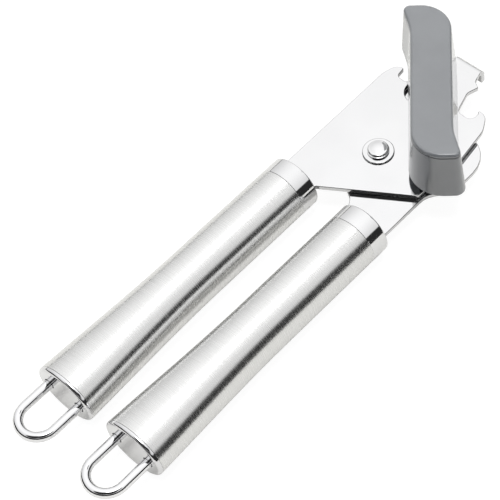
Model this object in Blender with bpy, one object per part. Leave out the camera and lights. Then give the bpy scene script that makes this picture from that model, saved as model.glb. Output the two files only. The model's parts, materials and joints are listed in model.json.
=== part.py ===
"""Manual can opener: two crossing levers on a rivet, tubular handles, a turning key and two wheels.

The tool is laid out round its pivot rivet: +X runs along the handles towards the nose, +Y towards
the handle of the drive lever, and Z along the rivet, with Z = 0 midway between the two levers.
The last step moves the whole tool so that its origin lies under the middle of its bounding box.
"""

from math import atan2, ceil, cos, hypot, pi, radians, sin, tan

import bmesh
import bpy
from mathutils import Matrix, Vector

MM = 0.001

# Clearances
SLIDE_GAP = 0.3 * MM  # between pieces that turn or slide on each other
SEAT_GAP = 0.15 * MM  # between flat faces that are stacked on each other
PRESS_GAP = 0.3 * MM  # round a piece that sits in a hole or a socket

# Levers
LEVER_THICKNESS = 1.8 * MM
TANG_HALF_WIDTH = 4.5 * MM
TANG_LENGTH = 22.0 * MM
TANG_SHOULDER = 2.2 * MM
ROOT_SIDE_GAP = 0.45 * MM
WIDE_ROOT_WALL = 0.6 * MM
LUG_DEPTH = 6.2 * MM
LUG_BEND_RADIUS = 2.6 * MM
OPENING_ANGLE = radians(36.0)

# Handles
HANDLE_LENGTH = 110.5 * MM
HANDLE_FRONT = -25.6 * MM
DRIVE_HANDLE_Y = 14.75 * MM
CUTTER_HANDLE_Y = -16.45 * MM
HEAD_HALF_WIDTH = 9.9 * MM
TAIL_HALF_WIDTH = 12.2 * MM
HANDLE_HALF_HEIGHT = 9.5 * MM
FLARE_START = 50.0 * MM
TUBE_WALL = 1.0 * MM
FERRULE_LENGTH = 7.0 * MM
FERRULE_WALL = 1.2 * MM
SPIGOT_LENGTH = 8.0 * MM
CAP_LIP = 1.6 * MM
TANG_BLOCK_LENGTH = 20.0 * MM
TANG_PIN_RADIUS = 1.5 * MM
HANDLE_SEGMENTS = 40

# Hanging loops
WIRE_RADIUS = 1.7 * MM
LOOP_HALF_WIDTH = 6.9 * MM
LOOP_REACH = 11.0 * MM
LOOP_INSERTION = 6.8 * MM

# Pivot rivet
RIVET_SHANK_RADIUS = 2.8 * MM
RIVET_HEAD_RADIUS = 3.5 * MM
RIVET_HEAD_HEIGHT = 2.0 * MM
RIVET_TAIL_RADIUS = 4.4 * MM
WASHER_RADIUS = 5.5 * MM
WASHER_THICKNESS = 0.5 * MM

# Drive: key, axle and feed wheel
AXLE_PLACE = Vector((21.7, -6.0, 0.0)) * MM
AXLE_RADIUS = 3.0 * MM
AXLE_SQUARE = 5.0 * MM
AXLE_FOOT_SQUARE = 4.0 * MM
BUSH_WALL = 1.2 * MM
BUSH_FLANGE_RADIUS = 6.5 * MM
BUSH_FLANGE_THICKNESS = 1.0 * MM
WAVE_WASHER_THICKNESS = 0.4 * MM
FEED_WHEEL_RADIUS = 6.5 * MM
FEED_WHEEL_THICKNESS = 2.8 * MM
FEED_TEETH = 22
TOOTH_DEPTH = 0.8 * MM

KEY_ANGLE = radians(40.6)
KEY_HALF_LENGTH = 33.4 * MM
KEY_HALF_WIDTH = 7.1 * MM
KEY_TIP_REACH = 2.8 * MM
KEY_FLARE_LENGTH = 11.2 * MM
KEY_HEIGHT = 19.85 * MM
KEY_OVER_RIVET = 0.4 * MM
KEY_EDGE = 0.6 * MM
KEY_DRAFT = 1.3 * MM
KEY_WALL = 2.3 * MM
KEY_POCKET_DEPTH = 14.0 * MM
KEY_SOCKET_DEPTH = 15.0 * MM

# Cutter
CUTTER_PLACE = Vector((28.8, 6.2, 0.0)) * MM
WHEEL_OVERLAP = 1.4 * MM
CUTTER_THICKNESS = 1.2 * MM
CUTTER_BEVEL = 1.9 * MM
STUD_RADIUS = 1.9 * MM
STUD_HEAD_RADIUS = 3.4 * MM
STUD_FOOT_RADIUS = 3.8 * MM
STUD_FOOT_HEIGHT = 1.5 * MM
SPACER_RADIUS = 4.2 * MM
WINDOW_RADIUS = 5.2 * MM

# Sizes that follow from the ferrule's bore and from the distance between the two wheels
UNDER_TUBE = TUBE_WALL + PRESS_GAP
ROOT_HALF_WIDTH = HEAD_HALF_WIDTH - UNDER_TUBE - FERRULE_WALL - ROOT_SIDE_GAP
WIDE_ROOT_REACH = HEAD_HALF_WIDTH - WIDE_ROOT_WALL - PRESS_GAP
CUTTER_RADIUS = (CUTTER_PLACE - AXLE_PLACE).length - FEED_WHEEL_RADIUS + WHEEL_OVERLAP
FEED_WASHER_RADIUS = FEED_WHEEL_RADIUS - WHEEL_OVERLAP - 1.1 * MM

# Heights that follow from the stack of pieces
DRIVE_BOTTOM = SLIDE_GAP / 2
DRIVE_TOP = DRIVE_BOTTOM + LEVER_THICKNESS
CUTTER_TOP = -DRIVE_BOTTOM
CUTTER_BOTTOM = -DRIVE_TOP
WASHER_TOP = DRIVE_TOP + SEAT_GAP + WASHER_THICKNESS
RIVET_TOP = WASHER_TOP + SEAT_GAP + RIVET_HEAD_HEIGHT
KEY_BOTTOM = RIVET_TOP + KEY_OVER_RIVET
KEY_TOP = KEY_BOTTOM + KEY_HEIGHT
FEED_TOP = CUTTER_BOTTOM - SLIDE_GAP
FEED_BOTTOM = FEED_TOP - FEED_WHEEL_THICKNESS
BLADE_TOP = FEED_BOTTOM - SLIDE_GAP - SEAT_GAP
BLADE_BOTTOM = BLADE_TOP - CUTTER_THICKNESS
STUD_TOP = CUTTER_TOP - SEAT_GAP


# ---------------------------------------------------------------- materials


def make_material(name, colour, roughness, metallic):
    material = bpy.data.materials.new(name)
    material.use_nodes = True
    shader = material.node_tree.nodes["Principled BSDF"]
    shader.inputs["Base Color"].default_value = (*colour, 1.0)
    shader.inputs["Roughness"].default_value = roughness
    shader.inputs["Metallic"].default_value = metallic
    return material


def polished_steel(name):
    return make_material(name, (0.82, 0.82, 0.83), 0.12, 1.0)


def brushed_steel(name):
    return make_material(name, (0.70, 0.70, 0.69), 0.32, 1.0)


def chrome_wire(name):
    return make_material(name, (0.86, 0.86, 0.87), 0.06, 1.0)


def hardened_steel(name):
    return make_material(name, (0.58, 0.58, 0.60), 0.28, 1.0)


def grey_plastic(name):
    return make_material(name, (0.27, 0.285, 0.30), 0.35, 0.0)


# ---------------------------------------------------------------- outlines


def outline(corners, step=radians(15)):
    """Points of a closed outline of (x, y, radius) corners, each rounded by an arc of its radius."""
    points = []
    for index, (x, y, radius) in enumerate(corners):
        here = Vector((x, y))
        before = (Vector(corners[index - 1][:2]) - here).normalized()
        after = (Vector(corners[(index + 1) % len(corners)][:2]) - here).normalized()
        half_angle = before.angle(after) / 2
        if radius <= 0:
            points.append(here)
            continue
        reach = radius / tan(half_angle)
        middle = here + (before + after).normalized() * radius / sin(half_angle)
        start = here + before * reach - middle
        turn = start.angle_signed(here + after * reach - middle)
        parts = max(1, ceil(abs(turn) / step - 0.01))
        for k in range(parts + 1):
            angle = -turn * k / parts
            offset = Matrix.Rotation(angle, 2) @ start
            points.append(middle + offset)
    return points


def grown(corners, distance):
    """The same corners with every side moved outwards, for corners that run counter-clockwise."""
    result = []
    for index, (x, y, radius) in enumerate(corners):
        here = Vector((x, y))
        along = (here - Vector(corners[index - 1][:2])).normalized()
        onward = (Vector(corners[(index + 1) % len(corners)][:2]) - here).normalized()
        out_before = Vector((along.y, -along.x))
        out_after = Vector((onward.y, -onward.x))
        shift = (out_before + out_after) / (1 + out_before.dot(out_after))
        convex = along.x * onward.y - along.y * onward.x > 0
        new_radius = radius + distance if convex else radius - distance
        result.append((*(here + shift * distance), max(new_radius, 0.0)))
    return result


def in_mm(corners):
    return [(x * MM, y * MM, radius * MM) for x, y, radius in corners]


def circle(radius, count, centre=(0.0, 0.0)):
    return [
        Vector((centre[0] + radius * cos(2 * pi * k / count), centre[1] + radius * sin(2 * pi * k / count)))
        for k in range(count)
    ]


def square(side):
    half = side / 2
    return [Vector((half, half)), Vector((-half, half)), Vector((-half, -half)), Vector((half, -half))]


# ---------------------------------------------------------------- objects


def add_object(name, mesh_builder, material, parent):
    """Finishes a bmesh as a smooth-shaded object, or as a hidden cutter when it has no material."""
    bmesh.ops.recalc_face_normals(mesh_builder, faces=mesh_builder.faces[:])
    mesh = bpy.data.meshes.new(name)
    mesh_builder.to_mesh(mesh)
    mesh_builder.free()
    obj = bpy.data.objects.new(name, mesh)
    bpy.context.scene.collection.objects.link(obj)
    obj.parent = parent
    if material is None:
        obj.hide_render = True
        obj.display_type = "WIRE"
        return obj
    mesh.materials.append(material)
    mesh.shade_smooth()
    mesh.set_sharp_from_angle(angle=radians(32))
    return obj


def add_layers(name, layers, material, parent):
    """A solid through (points, height) layers that all have the same number of points."""
    builder = bmesh.new()
    rings = [[builder.verts.new((p.x, p.y, height)) for p in points] for points, height in layers]
    builder.faces.new(rings[0])
    builder.faces.new(rings[-1])
    for lower, upper in zip(rings, rings[1:]):
        for k in range(len(lower)):
            following = (k + 1) % len(lower)
            builder.faces.new((lower[k], lower[following], upper[following], upper[k]))
    return add_object(name, builder, material, parent)


def add_prism(name, points, bottom, top, material, parent):
    return add_layers(name, [(points, bottom), (points, top)], material, parent)


def add_turned(name, profile, material, parent, count=32):
    """Spins a closed (radius, height) profile round Z; points at radius 0 lie on the axis."""
    builder = bmesh.new()
    verts = [builder.verts.new((radius, 0.0, height)) for radius, height in profile]
    edges = [builder.edges.new((verts[k], verts[(k + 1) % len(verts)])) for k in range(len(verts))]
    on_axis = [edge for edge in edges if all(vert.co.x == 0.0 for vert in edge.verts)]
    bmesh.ops.delete(builder, geom=on_axis, context="EDGES_FACES")
    bmesh.ops.spin(
        builder,
        geom=builder.verts[:] + builder.edges[:],
        cent=(0, 0, 0),
        axis=(0, 0, 1),
        angle=2 * pi,
        steps=count,
        use_merge=True,
    )
    bmesh.ops.remove_doubles(builder, verts=builder.verts[:], dist=1e-7)
    return add_object(name, builder, material, parent)


def add_ring(name, inner, outer, bottom, top, material, parent, edge=0.0):
    """A washer or bush whose outer edges are chamfered by edge."""
    profile = [
        (inner, top),
        (outer - edge, top),
        (outer, top - edge),
        (outer, bottom + edge),
        (outer - edge, bottom),
        (inner, bottom),
    ]
    if edge == 0.0:
        profile = [(inner, top), (outer, top), (outer, bottom), (inner, bottom)]
    return add_turned(name, profile, material, parent)


def combine(target, operation, tool):
    modifier = target.modifiers.new(f"{operation.lower()} {tool.name}", "BOOLEAN")
    modifier.operation = operation
    modifier.object = tool
    modifier.solver = "EXACT"


def add_empty(name, place, parent):
    empty = bpy.data.objects.new(name, None)
    empty.location = place
    empty.parent = parent
    bpy.context.scene.collection.objects.link(empty)
    return empty


# ---------------------------------------------------------------- levers


def tang(centre_y, side, root_reach=ROOT_HALF_WIDTH):
    """Corners along one side of a lever's tang, from its inner end out to its shoulder."""
    shoulder = HANDLE_FRONT - TANG_SHOULDER
    return [
        (shoulder - TANG_LENGTH, centre_y + side * TANG_HALF_WIDTH, 1.0 * MM),
        (shoulder - 0.5 * MM, centre_y + side * TANG_HALF_WIDTH, 0.7 * MM),
        (shoulder, centre_y + side * root_reach, 0.7 * MM),
    ]


def cut_pin_hole(lever, centre_y, bottom, top, parent):
    hole = add_prism(
        f"{lever.name}_pin_cutter",
        circle(TANG_PIN_RADIUS + PRESS_GAP, 16, (pin_x(), centre_y)),
        bottom - MM,
        top + MM,
        None,
        parent,
    )
    combine(lever, "DIFFERENCE", hole)


def pin_x():
    """Where the cross pin passes through a tang and its block."""
    return HANDLE_FRONT - FERRULE_LENGTH - SPIGOT_LENGTH - TANG_BLOCK_LENGTH / 3


def add_drive_lever(parent):
    """The upper lever: it carries the key, and has the cap lifter, the tab notch and the guide lug."""
    root = DRIVE_HANDLE_Y
    lower_edge = tang(root, -1)
    upper_edge = tang(root, 1)[::-1]
    rear_edge = in_mm([(-6.0, -22.6, 1.8), (13.0, -24.2, 8.0)])
    tab_notch = in_mm(
        [
            (29.0, -22.0, 6.0),
            (34.9, -18.6, 4.0),
            (35.1, -15.1, 0.4),
            (33.6, -15.9, 0.8),
            (30.0, -15.9, 2.4),
            (30.2, -9.7, 2.4),
            (38.8, -7.1, 3.0),
            (42.9, -8.5, 0.5),
            (44.4, -6.0, 1.2),
        ]
    )
    nose = in_mm([(48.0, -4.9, 0.3), (48.0, 6.6, 0.3)])
    cap_lifter = in_mm(
        [
            (45.0, 6.3, 4.0),
            (36.0, 9.4, 6.0),
            (29.3, 13.0, 1.6),
            (29.6, 17.0, 1.7),
            (33.9, 17.4, 0.6),
            (32.6, 20.6, 3.0),
            (27.6, 22.0, 5.0),
        ]
    )
    root_lower = (HANDLE_FRONT + 0.8 * MM, root - ROOT_HALF_WIDTH, 2.0 * MM)
    corners = lower_edge + [root_lower] + rear_edge + tab_notch + nose + cap_lifter + upper_edge
    material = polished_steel("polished lever steel")
    lever = add_prism("drive_lever", outline(corners), DRIVE_BOTTOM, DRIVE_TOP, material, parent)
    add_guide_lug(lever, parent)
    holes = (
        ("rivet", RIVET_SHANK_RADIUS + PRESS_GAP, (0.0, 0.0)),
        ("bush", AXLE_RADIUS + SLIDE_GAP + BUSH_WALL + PRESS_GAP, AXLE_PLACE),
        ("window", WINDOW_RADIUS, CUTTER_PLACE),
    )
    for label, radius, place in holes:
        points = circle(radius, 36, place)
        cutter = add_prism(f"{label}_hole_cutter", points, DRIVE_BOTTOM - MM, DRIVE_TOP + MM, None, parent)
        combine(lever, "DIFFERENCE", cutter)
    cut_pin_hole(lever, root, DRIVE_BOTTOM, DRIVE_TOP, parent)
    return lever


def add_guide_lug(lever, parent):
    """The nose bends down in a lug that rides on the rim; its side view is swept across the nose."""
    rear = 46.5 * MM
    front = 50.8 * MM
    bottom = DRIVE_TOP - LUG_DEPTH
    inner_radius = LUG_BEND_RADIUS - LEVER_THICKNESS
    side_view = [
        (rear, DRIVE_BOTTOM, 0.0),
        (front - LEVER_THICKNESS, DRIVE_BOTTOM, inner_radius),
        (front - LEVER_THICKNESS, bottom, 0.5 * MM),
        (front, bottom, 0.5 * MM),
        (front, DRIVE_TOP, LUG_BEND_RADIUS),
        (rear, DRIVE_TOP, 0.0),
    ]
    lug = add_prism("lug_piece", outline(side_view), -6.6 * MM, 4.9 * MM, None, parent)
    lug.rotation_euler = (pi / 2, 0, 0)
    combine(lever, "UNION", lug)


def add_cutter_lever(parent):
    """The lower lever: it carries the cutter, and has an arc slot that the axle moves in."""
    root = CUTTER_HANDLE_Y
    outer_edge = tang(root, -1)
    inner_edge = tang(root, 1, WIDE_ROOT_REACH)[::-1]
    slot_end = Matrix.Rotation(-OPENING_ANGLE, 3, "Z") @ AXLE_PLACE
    lobe = 12.1 * MM
    outer_corners = [
        (-3.0 * MM, root - ROOT_HALF_WIDTH, 8.0 * MM),
        (slot_end.x - 0.75 * lobe, slot_end.y - lobe, 8.0 * MM),
        (slot_end.x + lobe, slot_end.y - lobe, lobe - 0.1 * MM),
    ]
    stud = CUTTER_PLACE
    pad = 6.2 * MM
    front_corners = [
        (slot_end.x + lobe, slot_end.y + 1.5 * MM, 4.0 * MM),
        (30.6 * MM, AXLE_PLACE.y - 1.0 * MM, 12.0 * MM),
        (30.9 * MM, -0.6 * MM, 4.0 * MM),
        (stud.x + pad, stud.y - 3.0 * MM, 5.0 * MM),
        (stud.x + pad, stud.y + pad, pad - 0.1 * MM),
        (stud.x - pad, stud.y + pad, 6.0 * MM),
    ]
    hidden_corners = in_mm([(8.0, 18.6, 7.0), (-6.0, 18.6, 7.0), (-19.5, -4.2, 5.0)])
    root_upper = (HANDLE_FRONT + 0.8 * MM, root + WIDE_ROOT_REACH, 1.0 * MM)
    corners = outer_edge + outer_corners + front_corners + hidden_corners + [root_upper] + inner_edge
    material = polished_steel("polished cutter lever steel")
    lever = add_prism("cutter_lever", outline(corners), CUTTER_BOTTOM, CUTTER_TOP, material, parent)
    rivet_hole = circle(RIVET_SHANK_RADIUS + SLIDE_GAP, 36)
    cutter = add_prism("pivot_hole_cutter", rivet_hole, CUTTER_BOTTOM - MM, CUTTER_TOP + MM, None, parent)
    combine(lever, "DIFFERENCE", cutter)
    slot = add_prism("axle_slot_cutter", slot_outline(), CUTTER_BOTTOM - MM, CUTTER_TOP + MM, None, parent)
    combine(lever, "DIFFERENCE", slot)
    countersink = add_turned(
        "stud_hole_cutter",
        [
            (0.0, CUTTER_TOP + MM),
            (STUD_HEAD_RADIUS + PRESS_GAP + CUTTER_TOP + MM - STUD_TOP, CUTTER_TOP + MM),
            (STUD_RADIUS + PRESS_GAP, STUD_TOP - (STUD_HEAD_RADIUS - STUD_RADIUS)),
            (STUD_RADIUS + PRESS_GAP, CUTTER_BOTTOM - MM),
            (0.0, CUTTER_BOTTOM - MM),
        ],
        None,
        parent,
    )
    countersink.location = CUTTER_PLACE
    combine(lever, "DIFFERENCE", countersink)
    cut_pin_hole(lever, root, CUTTER_BOTTOM, CUTTER_TOP, parent)
    return lever


def slot_outline():
    """The path of the axle in the cutter lever while the handles open, as wide as the axle needs."""
    half = AXLE_RADIUS + SLIDE_GAP + 0.2 * MM
    middle = hypot(AXLE_PLACE.x, AXLE_PLACE.y)
    start = atan2(AXLE_PLACE.y, AXLE_PLACE.x)
    steps = 12

    def polar(radius, angle):
        return Vector((radius * cos(angle), radius * sin(angle)))

    outer = [polar(middle + half, start - OPENING_ANGLE * (1 - k / steps)) for k in range(steps + 1)]
    front = [polar(middle, start) + polar(half, start + pi * k / steps) for k in range(1, steps)]
    inner = [polar(middle - half, start - OPENING_ANGLE * k / steps) for k in range(steps + 1)]
    end = start - OPENING_ANGLE
    rear = [polar(middle, end) + polar(half, end + pi + pi * k / steps) for k in range(1, steps)]
    return outer + front + inner + rear


# ---------------------------------------------------------------- handles


def half_width(along):
    """Half the width of a handle at a distance from its front: straight, then flaring to the tail."""
    t = max(0.0, (along - FLARE_START) / (HANDLE_LENGTH - FLARE_START))
    return HEAD_HALF_WIDTH + (TAIL_HALF_WIDTH - HEAD_HALF_WIDTH) * t * t * (2 - t)


def add_sleeve(name, stations, closed, material, parent):
    """An oval solid through (distance from the front, depth under the handle's skin) stations.

    A closed sleeve joins its last station to its first and so is open through; another is capped.
    """
    builder = bmesh.new()
    rings = []
    for along, depth in stations:
        width = half_width(along) - depth
        height = HANDLE_HALF_HEIGHT - depth
        angles = [2 * pi * k / HANDLE_SEGMENTS for k in range(HANDLE_SEGMENTS)]
        rings.append([builder.verts.new((-along, width * cos(a), height * sin(a))) for a in angles])
    pairs = list(zip(rings, rings[1:]))
    if closed:
        pairs.append((rings[-1], rings[0]))
    else:
        builder.faces.new(rings[0])
        builder.faces.new(rings[-1])
    for first, second in pairs:
        for k in range(HANDLE_SEGMENTS):
            following = (k + 1) % HANDLE_SEGMENTS
            builder.faces.new((first[k], first[following], second[following], second[k]))
    return add_object(name, builder, material, parent)


def tube_stations():
    """Outer stations from front to tail, then the inner ones back again."""
    front = FERRULE_LENGTH + SEAT_GAP
    tail = HANDLE_LENGTH - CAP_LIP - SEAT_GAP
    flare = [FLARE_START + (tail - FLARE_START) * k / 9 for k in range(10)]
    outer = [(front, 0.0)] + [(along, 0.0) for along in flare]
    return outer + [(along, TUBE_WALL) for along, _ in reversed(outer)]


def add_handle(side, centre_y, tang_height, inner_reach, parent):
    """One handle round its own axis: ferrule, tube, tang block and pin, end cap and hanging loop.

    The lever's root reaches inner_reach from the handle's axis on the side of the other handle.
    """
    axis = add_empty(f"{side}_handle_axis", Vector((HANDLE_FRONT, centre_y, 0.0)), parent)
    spigot_end = FERRULE_LENGTH + SPIGOT_LENGTH
    ferrule_material = polished_steel(f"{side} ferrule steel")
    ferrule = add_sleeve(
        f"{side}_handle_ferrule",
        [
            (0.0, 1.0 * MM),
            (0.3 * MM, 0.3 * MM),
            (1.0 * MM, 0.0),
            (FERRULE_LENGTH, 0.0),
            (FERRULE_LENGTH, UNDER_TUBE),
            (spigot_end, UNDER_TUBE),
            (spigot_end, UNDER_TUBE + FERRULE_WALL),
            (FERRULE_WALL, UNDER_TUBE + FERRULE_WALL),
        ],
        False,
        ferrule_material,
        axis,
    )
    inward = -1 if centre_y > 0 else 1
    slot = add_box_cutter(
        f"{side}_ferrule_slot_cutter",
        (-TANG_SHOULDER - 2 * PRESS_GAP, MM),
        sorted((-inward * (ROOT_HALF_WIDTH + PRESS_GAP), inward * (inner_reach + PRESS_GAP))),
        (tang_height - LEVER_THICKNESS / 2 - PRESS_GAP, tang_height + LEVER_THICKNESS / 2 + PRESS_GAP),
        axis,
    )
    combine(ferrule, "DIFFERENCE", slot)
    tube_material = brushed_steel(f"{side} tube steel")
    add_sleeve(f"{side}_handle_tube", tube_stations(), True, tube_material, axis)

    block_front = spigot_end + SEAT_GAP
    block_end = block_front + TANG_BLOCK_LENGTH
    block_material = make_material(f"{side} block plastic", (0.05, 0.05, 0.055), 0.5, 0.0)
    block = add_sleeve(
        f"{side}_tang_block",
        [(block_front, UNDER_TUBE), (block_end, UNDER_TUBE)],
        False,
        block_material,
        axis,
    )
    tang_slot = add_box_cutter(
        f"{side}_tang_slot_cutter",
        (-block_end - MM, -block_front + MM),
        (-TANG_HALF_WIDTH - PRESS_GAP, TANG_HALF_WIDTH + PRESS_GAP),
        (tang_height - LEVER_THICKNESS / 2 - PRESS_GAP, tang_height + LEVER_THICKNESS / 2 + PRESS_GAP),
        axis,
    )
    combine(block, "DIFFERENCE", tang_slot)
    pin_place = (pin_x() - HANDLE_FRONT, 0.0)
    pin_reach = HANDLE_HALF_HEIGHT - TUBE_WALL - 0.8 * MM
    bore = circle(TANG_PIN_RADIUS + PRESS_GAP, 16, pin_place)
    pin_hole = add_prism(
        f"{side}_pin_hole_cutter", bore, -HANDLE_HALF_HEIGHT, HANDLE_HALF_HEIGHT, None, axis
    )
    combine(block, "DIFFERENCE", pin_hole)
    pin_points = circle(TANG_PIN_RADIUS, 16, pin_place)
    pin_material = hardened_steel(f"{side} pin steel")
    add_prism(f"{side}_tang_pin", pin_points, -pin_reach, pin_reach, pin_material, axis)
    add_end_cap(side, axis)
    add_hanging_loop(side, axis)


def add_box_cutter(name, x_range, y_range, z_range, parent):
    near, far = x_range
    right, left = y_range
    points = [Vector(corner) for corner in ((near, right), (far, right), (far, left), (near, left))]
    return add_prism(name, points, *z_range, None, parent)


def add_end_cap(side, axis):
    """A plug with a flush lip, and two sockets for the legs of the hanging loop."""
    lip_start = HANDLE_LENGTH - CAP_LIP
    cap = add_sleeve(
        f"{side}_end_cap",
        [
            (HANDLE_LENGTH, 0.7 * MM),
            (HANDLE_LENGTH - 0.2 * MM, 0.2 * MM),
            (HANDLE_LENGTH - 0.7 * MM, 0.0),
            (lip_start, 0.0),
            (lip_start, UNDER_TUBE),
            (lip_start - SPIGOT_LENGTH, UNDER_TUBE),
        ],
        False,
        polished_steel(f"{side} cap steel"),
        axis,
    )
    for number, y in enumerate((-LOOP_HALF_WIDTH, LOOP_HALF_WIDTH)):
        depth = LOOP_INSERTION + 0.6 * MM
        socket = add_prism(
            f"{side}_socket_cutter_{number}",
            circle(WIRE_RADIUS + PRESS_GAP, 18),
            -depth,
            MM,
            None,
            axis,
        )
        socket.rotation_euler = (0, -pi / 2, 0)
        socket.location = (-HANDLE_LENGTH, y, 0.0)
        combine(cap, "DIFFERENCE", socket)


def add_hanging_loop(side, axis):
    """A U of round wire whose two legs are fixed in the end cap."""
    inner_end = HANDLE_LENGTH - LOOP_INSERTION
    bend = HANDLE_LENGTH + LOOP_REACH
    steps = 18
    points = [(-inner_end, LOOP_HALF_WIDTH), (-HANDLE_LENGTH, LOOP_HALF_WIDTH)]
    for k in range(steps + 1):
        angle = pi / 2 - pi * k / steps
        points.append((-bend - LOOP_HALF_WIDTH * cos(angle), LOOP_HALF_WIDTH * sin(angle)))
    points += [(-HANDLE_LENGTH, -LOOP_HALF_WIDTH), (-inner_end, -LOOP_HALF_WIDTH)]
    curve = bpy.data.curves.new(f"{side}_hanging_loop", "CURVE")
    curve.dimensions = "3D"
    curve.bevel_depth = WIRE_RADIUS
    curve.bevel_resolution = 4
    curve.use_fill_caps = True
    spline = curve.splines.new("POLY")
    spline.points.add(len(points) - 1)
    for point, (x, y) in zip(spline.points, points):
        point.co = (x, y, 0.0, 1.0)
    curve.materials.append(chrome_wire(f"{side} loop chrome"))
    loop = bpy.data.objects.new(f"{side}_hanging_loop", curve)
    loop.parent = axis
    bpy.context.scene.collection.objects.link(loop)


# ---------------------------------------------------------------- pivot


def add_pivot(parent):
    """The rivet that both levers turn on, with a washer above and below them."""
    bore = RIVET_SHANK_RADIUS + SLIDE_GAP
    washer_bottom = CUTTER_BOTTOM - SEAT_GAP - WASHER_THICKNESS
    head_base = WASHER_TOP + SEAT_GAP
    tail_base = washer_bottom - SEAT_GAP
    material = polished_steel("rivet steel")
    add_turned(
        "pivot_rivet",
        [
            (0.0, RIVET_TOP),
            (RIVET_HEAD_RADIUS * 0.55, RIVET_TOP - 0.1 * MM),
            (RIVET_HEAD_RADIUS * 0.85, RIVET_TOP - 0.35 * MM),
            (RIVET_HEAD_RADIUS * 0.96, RIVET_TOP - 0.7 * MM),
            (RIVET_HEAD_RADIUS, RIVET_TOP - 1.1 * MM),
            (RIVET_HEAD_RADIUS, head_base),
            (RIVET_SHANK_RADIUS, head_base),
            (RIVET_SHANK_RADIUS, tail_base),
            (RIVET_TAIL_RADIUS, tail_base),
            (RIVET_TAIL_RADIUS, tail_base - 0.6 * MM),
            (RIVET_TAIL_RADIUS * 0.8, tail_base - 1.3 * MM),
            (0.0, tail_base - 1.6 * MM),
        ],
        material,
        parent,
    )
    washers = (
        ("upper_pivot_washer", DRIVE_TOP + SEAT_GAP, WASHER_TOP),
        ("lower_pivot_washer", washer_bottom, CUTTER_BOTTOM - SEAT_GAP),
    )
    for name, bottom, top in washers:
        material = polished_steel(f"{name} steel")
        add_ring(name, bore, WASHER_RADIUS, bottom, top, material, parent, edge=0.15 * MM)


# ---------------------------------------------------------------- drive


def key_corners():
    """Outline of the key's upper rim: each end rounds off on one side and flares on the other."""
    end = KEY_HALF_LENGTH
    side = KEY_HALF_WIDTH
    tip = side + KEY_TIP_REACH
    half = [
        (-end, side, 11.0 * MM),
        (-end, -tip, 1.3 * MM),
        (KEY_FLARE_LENGTH - end, -side, 20.0 * MM),
    ]
    return half + [(-x, -y, radius) for x, y, radius in half]


def add_key(parent):
    """A moulded plastic key with drafted sides, cored out underneath on each side of its square socket."""
    rim = key_corners()
    layers = [
        (outline(grown(rim, KEY_DRAFT)), KEY_BOTTOM),
        (outline(rim), KEY_TOP - KEY_EDGE),
        (outline(grown(rim, -0.3 * KEY_EDGE)), KEY_TOP - 0.3 * KEY_EDGE),
        (outline(grown(rim, -KEY_EDGE)), KEY_TOP),
    ]
    key = add_layers("turning_key", layers, grey_plastic("key plastic"), parent)
    boss = AXLE_SQUARE / 2 + KEY_WALL
    pocket_end = KEY_HALF_LENGTH - KEY_WALL - 1.5 * MM
    pocket_half = KEY_HALF_WIDTH - KEY_WALL
    middle = (boss + pocket_end) / 2
    spans = ((boss, middle - KEY_WALL / 4), (middle + KEY_WALL / 4, pocket_end))
    for side in (-1, 1):
        for number, (near, far) in enumerate(spans):
            ends = sorted((side * near, side * far))
            pocket = add_box_cutter(
                f"key_pocket_cutter_{side + 1}_{number}",
                ends,
                (-pocket_half, pocket_half),
                (KEY_BOTTOM - MM, KEY_BOTTOM + KEY_POCKET_DEPTH),
                parent,
            )
            combine(key, "DIFFERENCE", pocket)
    socket = add_prism(
        "key_socket_cutter",
        square(AXLE_SQUARE + 2 * PRESS_GAP),
        KEY_BOTTOM - MM,
        KEY_BOTTOM + KEY_SOCKET_DEPTH,
        None,
        parent,
    )
    combine(key, "DIFFERENCE", socket)
    return key


def add_axle(parent):
    """A round journal with a square head in the key and a square foot in the feed wheel."""
    collar_top = KEY_BOTTOM - SEAT_GAP
    foot_bottom = FEED_BOTTOM - 2.0 * MM
    material = hardened_steel("axle steel")
    axle = add_turned(
        "drive_axle",
        [
            (0.0, collar_top),
            (AXLE_RADIUS, collar_top),
            (AXLE_RADIUS, FEED_TOP + SEAT_GAP),
            (0.0, FEED_TOP + SEAT_GAP),
        ],
        material,
        parent,
    )
    head = add_prism(
        "axle_head_piece",
        square(AXLE_SQUARE),
        collar_top - 0.5 * MM,
        KEY_BOTTOM + KEY_SOCKET_DEPTH - PRESS_GAP,
        None,
        parent,
    )
    foot = add_prism(
        "axle_foot_piece",
        square(AXLE_FOOT_SQUARE),
        FEED_BOTTOM - SEAT_GAP,
        FEED_TOP + 0.6 * MM,
        None,
        parent,
    )
    end = add_prism(
        "axle_end_piece",
        circle(AXLE_FOOT_SQUARE / 2 - 0.1 * MM, 24),
        foot_bottom,
        FEED_BOTTOM + 0.5 * MM,
        None,
        parent,
    )
    for piece in (head, foot, end):
        combine(axle, "UNION", piece)
    return axle


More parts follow.
